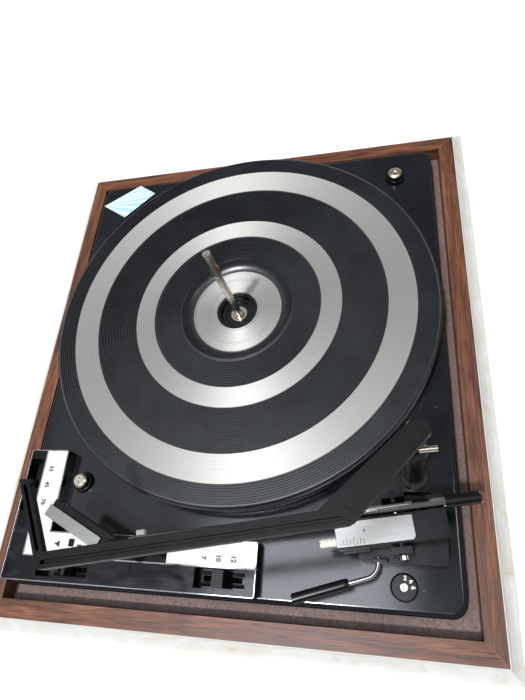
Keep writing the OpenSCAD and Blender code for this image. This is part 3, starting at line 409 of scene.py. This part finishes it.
NICKEL = srgb(196, 190, 180)
PAINTS = {
    "walnut_x": walnut("walnut_x", "x"),
    "walnut_y": walnut("walnut_y", "y"),
    "cream": moulding_cream(),
    "deck": deck_black(),
    "plastic": dark_plastic("black_plastic", 11, 0.4),
    "overarm": dark_plastic("overarm_plastic", 12, 0.45, grain=0.03, dust=0.3, specular=0.15),
    "satin": dark_plastic("satin_plastic", 9, 0.26, grain=0.006),
    # painted shade: matt black for the strips laid in the lever recesses
    "hole": dark_plastic("dark_hole", 4, 0.8, dust=0.0),
    "rubber": dark_plastic("rubber", 20, 0.7, grain=0.04),
    "panel": gloss_panel(),
    "mat": mat_black(),
    "spun": spun_metal(),
    "nickel": bright_metal("nickel", NICKEL, 0.24, srgb(150, 138, 120), 3.0),
    "gilt": bright_metal("gilt", srgb(222, 216, 200), 0.3, srgb(190, 172, 136), 2.5),
    "chrome": bright_metal("chrome", srgb(214, 214, 214), 0.09, srgb(180, 176, 168)),
    "tube": bright_metal("tube_chrome", srgb(206, 204, 199), 0.07, srgb(186, 180, 170), 9.0, (1, 0.05, 1)),
    "zinc": bright_metal("zinc", srgb(170, 170, 168), 0.36, srgb(132, 130, 122)),
    "brass": bright_metal("brass", srgb(196, 160, 96), 0.28, srgb(140, 104, 60), 3.0),
    "bronze": bright_metal("bronze", srgb(172, 128, 96), 0.3, srgb(120, 84, 58), 2.0),
    "plate": brushed("brushed_plate", srgb(160, 160, 158), 0.34, "y"),
    "white": white_lacquer(),
    "nylon": white_nylon(),
    "board": bare_board("ledge_board", srgb(84, 66, 60), srgb(128, 107, 99)),
    "hardboard": bare_board("hardboard", srgb(46, 33, 26), srgb(76, 57, 44)),
    "glue": bare_board("bare_edge", srgb(112, 72, 46), srgb(146, 100, 66)),
    "copper": winding(),
    "ink_black": printed("ink_black", srgb(24, 24, 26)),
    "ink_white": printed("ink_white", srgb(225, 224, 220)),
    "ink_grey": printed("ink_grey", srgb(118, 117, 113)),
    "badge_blue": printed("badge_blue", srgb(158, 202, 212), 0.3),
    "badge_white": printed("badge_white", srgb(236, 240, 240), 0.3),
}

# ---------- pieces ----------


def placed(name, mesh, paint, body, edge_angle=35):
    """A new piece from a mesh, with its material, body and slot."""
    piece = bpy.data.objects.new(name, mesh)
    bpy.context.scene.collection.objects.link(piece)
    mesh.materials.clear()
    mesh.materials.append(PAINTS[paint].material)
    if edge_angle:
        mesh.polygons.foreach_set("use_smooth", [True] * len(mesh.polygons))
        mesh.set_sharp_from_angle(angle=math.radians(edge_angle))
    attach(piece, body)
    return piece


def applied(piece):
    """The piece's mesh with its modifiers applied."""
    graph = bpy.context.evaluated_depsgraph_get()
    mesh = bpy.data.meshes.new_from_object(piece.evaluated_get(graph))
    bpy.data.objects.remove(piece)
    return mesh


def softened(node, paint, width, segments=2):
    """A copy of a CAD node whose sharp edges are rounded by width millimetres. It stands for the node."""
    mesh = nodes[node].data.copy()
    shape = bmesh.new()
    shape.from_mesh(mesh)
    bmesh.ops.remove_doubles(shape, verts=shape.verts, dist=0.002 * MM)
    bmesh.ops.dissolve_limit(shape, angle_limit=math.radians(0.5), verts=shape.verts, edges=shape.edges)
    shape.to_mesh(mesh)
    shape.free()
    mesh.polygons.foreach_set("use_smooth", [True] * len(mesh.polygons))
    raw = bpy.data.objects.new("raw", mesh)
    bpy.context.scene.collection.objects.link(raw)
    bevel = raw.modifiers.new("bevel", "BEVEL")
    bevel.width = width * MM
    bevel.segments = segments
    bevel.limit_method = "ANGLE"
    bevel.angle_limit = math.radians(30)
    bevel.miter_outer = "MITER_ARC"
    level = raw.modifiers.new("level", "WEIGHTED_NORMAL")
    level.keep_sharp = True
    piece = placed(node + "_shell", applied(raw), paint, nodes[node]["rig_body"], None)
    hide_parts(node)
    return piece


def repaint(piece, paint, test):
    """Another material on the faces whose centre passes the test."""
    mesh = piece.data
    mesh.materials.append(PAINTS[paint].material)
    for face in mesh.polygons:
        if test(face.center):
            face.material_index = len(mesh.materials) - 1


def dress(node, paint):
    """A CAD node that stays, with a better material."""
    data = nodes[node].data
    data.materials.clear()
    data.materials.append(PAINTS[paint].material)


def mesh_from(name, points, faces):
    mesh = bpy.data.meshes.new(name)
    mesh.from_pydata([tuple(p) for p in points], [], faces)
    mesh.update()
    return mesh


def lathe(name, profile, steps=288):
    """A closed outline of (radius, height) in millimetres, turned round the platter's axis."""
    count = len(profile)
    points = []
    for i in range(steps):
        turn = 2 * math.pi * i / steps
        for r, z in profile:
            points.append(deck_point(r * math.cos(turn), r * math.sin(turn), z))
    faces = []
    for i in range(steps):
        ahead = (i + 1) % steps
        for j in range(count):
            k = (j + 1) % count
            faces.append((i * count + j, ahead * count + j, ahead * count + k, i * count + k))
    mesh = mesh_from(name, points, faces)
    shape = bmesh.new()
    shape.from_mesh(mesh)
    bmesh.ops.recalc_face_normals(shape, faces=shape.faces)
    shape.to_mesh(mesh)
    shape.free()
    return mesh


def slab(name, outline, thickness):
    """A thin plate with the given corner points (Vectors), thickness millimetres upward."""
    count = len(outline)
    up = Vector((0, 0, thickness * MM))
    points = list(outline) + [p + up for p in outline]
    faces = [tuple(reversed(range(count))), tuple(range(count, 2 * count))]
    for i in range(count):
        k = (i + 1) % count
        faces.append((i, k, count + k, count + i))
    mesh = mesh_from(name, points, faces)
    shape = bmesh.new()
    shape.from_mesh(mesh)
    bmesh.ops.recalc_face_normals(shape, faces=shape.faces)
    shape.to_mesh(mesh)
    shape.free()
    return mesh


def joined(name, meshes):
    """Several meshes as one."""
    shape = bmesh.new()
    for mesh in meshes:
        shape.from_mesh(mesh)
    whole = bpy.data.meshes.new(name)
    shape.to_mesh(whole)
    shape.free()
    return whole


def strip(a, b, width, height):
    """A thin bar from point a to point b, lying flat."""
    ahead = (b - a).normalized()
    side = Vector((-ahead.y, ahead.x, 0)).normalized() * width * MM / 2
    return slab("strip", [a - side, b - side, b + side, a + side], height)


def lettering(name, text, place, size, paint, body, turn=0.0):
    """Numbers as thin raised print; size is the height of a figure in millimetres."""
    curve = bpy.data.curves.new("text", "FONT")
    curve.body = text
    curve.size = size * MM / 0.7
    curve.extrude = 0.02 * MM
    curve.offset = 0.05 * size * MM
    curve.align_x = "CENTER"
    curve.align_y = "CENTER"
    curve.resolution_u = 4
    raw = bpy.data.objects.new("raw", curve)
    bpy.context.scene.collection.objects.link(raw)
    mesh = applied(raw)
    mesh.transform(Matrix.Translation(place) @ Matrix.Rotation(turn, 4, "Z"))
    return placed(name, mesh, paint, body)


# ---------- plinth ----------

def build_plinth():
    for side, grain in (("front", "x"), ("back", "x"), ("left", "y"), ("right", "y")):
        softened(f"wall_{side}", f"walnut_{grain}", 0.35)
        softened(f"moulding_{side}", "cream", 0.3)
    for node in ("motor_board_front", "motor_board_back", "motor_board_sides"):
        softened(node, "board", 0.3, 1)
    softened("base_board", "hardboard", 0.3, 1)
    softened("feet", "rubber", 0.6)
    softened("cord_grommet", "rubber", 0.3)
    softened("base_screws", "zinc", 0.1, 1)
    build_springs()
    softened("transit_screws", "gilt", 0.25)


def build_springs():
    """The coil springs under the deck, as a copy of the CAD node on the plinth."""
    node = nodes["suspension_springs"]
    springs = placed("springs", node.data.copy(), "zinc", "plinth")
    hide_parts("suspension_springs")
    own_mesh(springs)


def build_corner_lines():
    """The bare edge of the veneer, which shows as a light line across each mitre."""
    low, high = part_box("wall_front")
    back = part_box("wall_back")[1].y
    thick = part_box("wall_front")[1].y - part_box("wall_front")[0].y
    lines = []
    for x, sx in ((low.x, 1), (high.x, -1)):
        for y, sy in ((low.y, 1), (back, -1)):
            outer = Vector((x + 1.0 * sx * MM, y + 1.0 * sy * MM, high.z - 0.02 * MM))
            inner = Vector((x + (thick - 0.6 * MM) * sx, y + (thick - 0.6 * MM) * sy, high.z - 0.02 * MM))
            lines.append(strip(outer, inner, 0.35, 0.05))
    placed("mitre_lines", joined("mitre_lines", lines), "glue", "plinth")


# ---------- deck ----------

def build_deck():
    softened("deck_plate", "deck", 0.25)
    softened("screw_collars", "satin", 0.3)
    softened("control_panel", "panel", 0.25)
    softened("panel_trim", "chrome", 0.2)
    softened("scale_plates", "white", 0.12)
    softened("arm_rest", "nylon", 0.35)
    softened("arm_pedestal", "satin", 0.3)
    softened("overarm_post", "plastic", 0.3)
    softened("bearing_post", "nickel", 0.2)
    dress("thrust_race", "zinc")
    dress("motor_stack", "zinc")
    dress("motor_coil", "copper")
    dress("cam_gear", "nylon")
    dress("idler_arm", "zinc")
    dress("idler_wheel", "nylon")
    dress("idler_tyre", "rubber")
    dress("motor_rotor", "zinc")
    dress("motor_pulley", "brass")


def build_badge():
    """A diamond sticker in the deck's left front corner: plain light blue with white rays."""
    right, top, left, bottom = (-133, -93), (-144, -109), (-124.8, -141), (-109.5, -118)
    corners = [deck_point(*p, 0.02) for p in (left, bottom, right, top)]
    placed("badge", slab("badge", corners, 0.08), "badge_blue", "deck")
    source, low, far, high = [p + Vector((0, 0, 0.09 * MM)) for p in corners]
    rays = []
    for i in range(7):
        start, end = (i + 0.25) / 7, (i + 0.6) / 7
        def on_edge(t):
            return low.lerp(far, t * 2) if t < 0.5 else far.lerp(high, t * 2 - 1)
        rays.append(slab("ray", [source, on_edge(start), on_edge(end)], 0.03))
    placed("badge_rays", joined("badge_rays", rays), "badge_white", "deck")


def build_labels():
    """Numbers of the scales and two plain start and stop signs, as thin print on the white plates."""
    top = (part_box("scale_plates")[1].z - DECK_TOP) / MM + 0.01
    for text, x, y in (("33", 113.5, -123.7), ("45", 124.4, -124.2), ("78", 135.6, -124.0),
                       ("7", 164.1, -6.6), ("10", 163.9, 2.6), ("12", 163.9, 12.0)):
        lettering(f"label_{text}", text, deck_point(x, y, top), 2.8, "ink_black", "deck")
    arrow = [deck_point(x, y, top) for x, y in ((159.2, -104.4), (163.2, -104.4), (161.2, -108.2))]
    block = [deck_point(x, y, top) for x, y in ((161.0, -91.6), (164.2, -91.6),
                                                (164.2, -88.4), (161.0, -88.4))]
    signs = [slab("sign", outline, 0.05) for outline in (arrow, block)]
    placed("lever_signs", joined("lever_signs", signs), "ink_black", "deck")
    low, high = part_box("antiskate_dial")
    middle = (low + high) / 2
    for text, angle in (("2", 172), ("4", 132), ("6", 92)):
        turn = math.radians(angle)
        place = middle + Vector((math.cos(turn), math.sin(turn), 0)) * 4.7 * MM
        place.z = high.z + 0.01 * MM
        lettering(f"dial_{text}", text, place, 2.2, "ink_white", "antiskate",
                  turn - math.pi / 2)


def build_panel_lines():
    """Bright lines between the white plates and the black strips that the knobs run in."""
    low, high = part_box("control_panel")
    plate_low, plate_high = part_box("scale_plates")
    z = high.z + 0.01 * MM
    inset = 0.7 * MM
    strip_x = plate_high.x + 0.35 * MM
    strip_y = plate_low.y - 0.35 * MM
    lines = [strip(Vector((strip_x, strip_y, z)), Vector((strip_x, high.y - inset, z)), 0.7, 0.8),
             strip(Vector((low.x + inset, strip_y, z)), Vector((strip_x, strip_y, z)), 0.7, 0.8)]
    placed("panel_lines", joined("panel_lines", lines), "chrome", "deck")


# ---------- platter ----------

def rib(r, width, base, top):
    """One rib of the mat's outline, with narrow shoulders."""
    shoulder = width * 0.22
    return [(r, base), (r + shoulder, top), (r + width - shoulder, top), (r + width, base)]


def build_mat():
    """The mat with its fine ribs, seats for the rings and coarse ribs at the edge."""
    top = (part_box("mat_rings")[1].z - DECK_TOP) / MM
    base = (mat_low.z - DECK_TOP) / MM
    edge = (mat_high.x - mat_low.x) / 2 / MM
    seat = top - 0.8
    profile = [(32.6, base)]
    for i in range(9):  # the rounded rise round the centre disc
        turn = math.radians(-88 + i * 8.35)
        profile.append((32.4 + 8.2 * math.cos(turn), seat + 3 + 8.2 * math.sin(turn)))
    fine_bands = ((42.0, 60.5), (74.8, 104.7))
    pitch = 1.18
    for start, end in fine_bands:
        count = int((end - start) / pitch)
        for i in range(count):
            profile += rib(start + i * pitch, pitch * 0.72, seat - 0.25, seat + 0.4)
        profile += [(end, seat - 0.25), (end + 0.1, seat)]
    coarse_start, coarse_pitch = 123.5, 1.55
    for i in range(8):
        profile += rib(coarse_start + i * coarse_pitch, 1.0, seat, seat + 0.6)
    for i in range(6):  # the hollow curve down to the rim
        turn = math.radians(212 + i * 9)
        profile.append((edge + 1.5 + 3 * math.cos(turn), seat + 1.5 + 3 * math.sin(turn)))
    profile.append((edge, base))
    piece = placed("ribbed_mat", lathe("ribbed_mat", profile), "mat", "platter", 25)
    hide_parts("platter_mat")


def build_rings():
    """The two rings and the centre disc, turned with fine steps so that the brushing follows the circle."""
    top = (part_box("mat_rings")[1].z - DECK_TOP) / MM
    rings = []
    for inner, outer in RINGS:
        profile = [(inner, top - 0.78), (inner, top - 0.15), (inner + 0.15, top)]
        profile += [(inner + (outer - inner) * i / 6, top) for i in range(1, 6)]
        profile += [(outer - 0.15, top), (outer, top - 0.15), (outer, top - 0.78)]
        rings.append(lathe("ring", profile))
    piece = placed("bright_rings", joined("bright_rings", rings), "spun", "platter", 25)
    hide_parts("mat_rings")
    low, high = (corner.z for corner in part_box("centre_disc"))
    low, high = (low - DECK_TOP) / MM, (high - DECK_TOP) / MM
    edge = (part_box("centre_disc")[1].x - AXIS.x) / MM
    face = low + 1.2
    bore, lip = 14.8, 16.0
    profile = [(bore, low), (bore, high - 0.1), (14.9, high), (15.9, high), (lip, high - 0.1), (lip, face)]
    profile += [(16 + (edge - 17.2) * i / 5, face) for i in range(1, 5)]
    profile += [(edge - 1.2, face), (edge - 1.2, high - 0.15), (edge - 1.05, high), (edge - 0.2, high),
                (edge, high - 0.2), (edge, low)]
    piece = placed("bright_disc", lathe("bright_disc", profile), "spun", "platter", 25)
    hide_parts("centre_disc")


def build_painted_recess_shade():
    """Matt black strips on the deck beside the levers' slots: painted shade, which makes the recesses read as
    dark.
    """
    places = []
    for lever, joint, along in (("speed_lever", "speed_select", 0), ("size_lever", "size_select", 1),
                                ("start_lever", "start_stop", 1)):
        low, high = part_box(lever)
        middle = (low + high) / 2
        travel = joints[joint]["range_m"]
        start = Vector((low.x, low.y, 0))
        end = Vector((high.x, high.y, 0))
        start[along] += travel[0] - 0.8 * MM
        end[along] += travel[1] + 0.8 * MM
        across = 1 - along
        for side in (-1, 1):
            near = middle[across] + side * 1.9 * MM
            far = middle[across] + side * 4.3 * MM
            corners = []
            for a, c in ((start[along], near), (end[along], near), (end[along], far), (start[along], far)):
                corner = Vector((0, 0, DECK_TOP + 0.02 * MM))
                corner[along], corner[across] = a, c
                corners.append(corner)
            places.append(slab("floor", corners, 0.3))
    # the strips stand for the shade in the recesses: painted shade
    placed("painted_recess_shade", joined("painted_recess_shade", places), "hole", "deck")


def build_platter():
    build_mat()
    softened("platter_pan", "satin", 0.3)
    build_rings()
    softened("platter_hub", "satin", 0.25)
    build_disc_marks()


def build_disc_marks():
    """Faint print on the centre disc: short dashes in arcs, and three radial lines."""
    top = (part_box("centre_disc")[0].z - DECK_TOP) / MM + 1.2
    dashes = []
    for radius, first, last, step in ((25.5, 118, 205, 3.2), (25.5, 300, 385, 3.2), (20.0, 220, 290, 4.5),
                                      (25.5, 40, 95, 3.2)):
        angle = first
        while angle < last:
            a, b = (math.radians(angle + part * step) for part in (0.0, 0.62))
            for offset in (0.0, 1.1):
                r = radius + offset
                ends = [deck_point(r * math.cos(t), r * math.sin(t), top + 0.01) for t in (a, b)]
                dashes.append(strip(*ends, 0.35, 0.02))
            angle += step
    placed("disc_marks", joined("disc_marks", dashes), "ink_grey", "platter")


# ---------- spindle, levers, dial ----------

def build_controls():
    softened("stack_spindle", "nickel", 0.15)
    softened("record_pawl", "brass", 0.15)
    softened("speed_lever", "plastic", 0.35)
    softened("size_lever", "plastic", 0.4)
    softened("start_lever", "plastic", 0.35)
    dress("cue_lever", "tube")
    softened("cue_handle", "satin", 0.3)
    softened("antiskate_dial", "satin", 0.3)
    softened("dial_screw", "nickel", 0.15)


# ---------- tonearm ----------

def build_tonearm():
    softened("arm_yoke", "satin", 0.3)
    tube = softened("arm_tube", "tube", 0.2)
    repaint(tube, "satin", lambda c: 3.4 * MM < abs((c - ARM_PIVOT).dot(ARM_RIGHT)) < 24 * MM)
    softened("arm_housing", "satin", 0.3)
    softened("force_scale", "plate", 0.12)
    softened("force_adjuster", "nylon", 0.2)
    softened("headshell", "satin", 0.35)
    softened("head_plate", "plate", 0.12)
    softened("cartridge", "nylon", 0.2)
    softened("counterweight", "satin", 0.25)


def build_force_marks():
    """Scale lines along the plate's edge and a plus sign."""
    top = (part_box("force_scale")[1].z - DECK_TOP) / MM + 0.01
    lines = []
    for i in range(7):
        y = -28.6 + i * 1.75
        length = 3.6 if i % 2 else 2.6
        lines.append(strip(arm_point(16.2, y, top), arm_point(16.2 - length, y, top), 0.28, 0.02))
    for a, b in (((8.6, -17.2), (10.8, -17.2)), ((9.7, -18.3), (9.7, -16.1))):
        lines.append(strip(arm_point(*a, top), arm_point(*b, top), 0.3, 0.02))
    placed("force_marks", joined("force_marks", lines), "ink_black", "tonearm")


# ---------- overarm ----------

def build_overarm():
    softened("overarm_shaft", "nickel", 0.2)
    softened("overarm", "overarm", 0.35)


# ---------- stage ----------

def build_stage():
    floor = mesh_from("floor", [(-4, -4, 0), (4, -4, 0), (4, 4, 0), (-4, 4, 0)], [(0, 1, 2, 3)])
    paper = Paint("paper", (0.92, 0.92, 0.92, 1), 0.9)
    darker, lighter = (0.915, 0.915, 0.915), (0.925, 0.925, 0.925)
    paper.link(paper.ramp(paper.noise(300, detail=2), (0.3, darker), (0.7, lighter)), "Base Color")
    floor.materials.append(paper.material)
    plane = bpy.data.objects.new("floor", floor)
    bpy.context.scene.collection.objects.link(plane)


def area_light(name, place, aim, size, energy, color=(1, 1, 1)):
    data = bpy.data.lights.new(name, "AREA")
    data.shape = "RECTANGLE"
    data.size, data.size_y = size
    data.energy = energy
    data.color = color
    light = bpy.data.objects.new(name, data)
    bpy.context.scene.collection.objects.link(light)
    light.location = place
    light.rotation_euler = (Vector(aim) - Vector(place)).to_track_quat("-Z", "Y").to_euler()
    return light


def build_lights():
    bpy.context.scene.view_settings.view_transform = "Standard"
    world = bpy.data.worlds.new("world")
    world.use_nodes = True
    world.node_tree.nodes["Background"].inputs[0].default_value = (0.95, 0.97, 1.0, 1)
    world.node_tree.nodes["Background"].inputs[1].default_value = 0.17
    bpy.context.scene.world = world
    # key: a distant lamp, whose shadows fall towards -x and a little to the back
    data = bpy.data.lights.new("key", "SUN")
    data.energy = 2.9
    data.angle = math.radians(4)
    key = bpy.data.objects.new("key", data)
    bpy.context.scene.collection.objects.link(key)
    key.rotation_euler = KEY_FROM.to_track_quat("Z", "Y").to_euler()
    # ceiling panels over the front and right, whose reflection ends across the arm's base
    area_light("ceiling", (0.33, -0.217, 1.6), (0.33, -0.217, 0), (0.8, 0.62), 9.5, (0.9, 0.96, 1.05))
    area_light("wide_ceiling", (-0.35, -0.6, 1.62), (-0.35, -0.6, 0), (1.9, 1.4), 4.5, (0.92, 0.97, 1.04))
    area_light("back_light", (-0.05, 0.8, 1.4), (0, 0, 0.1), (0.25, 0.25), 2)


build_plinth()
build_corner_lines()
build_deck()
build_badge()
build_labels()
build_panel_lines()
build_painted_recess_shade()
build_platter()
build_controls()
build_tonearm()
build_force_marks()
build_overarm()
build_stage()
build_lights()
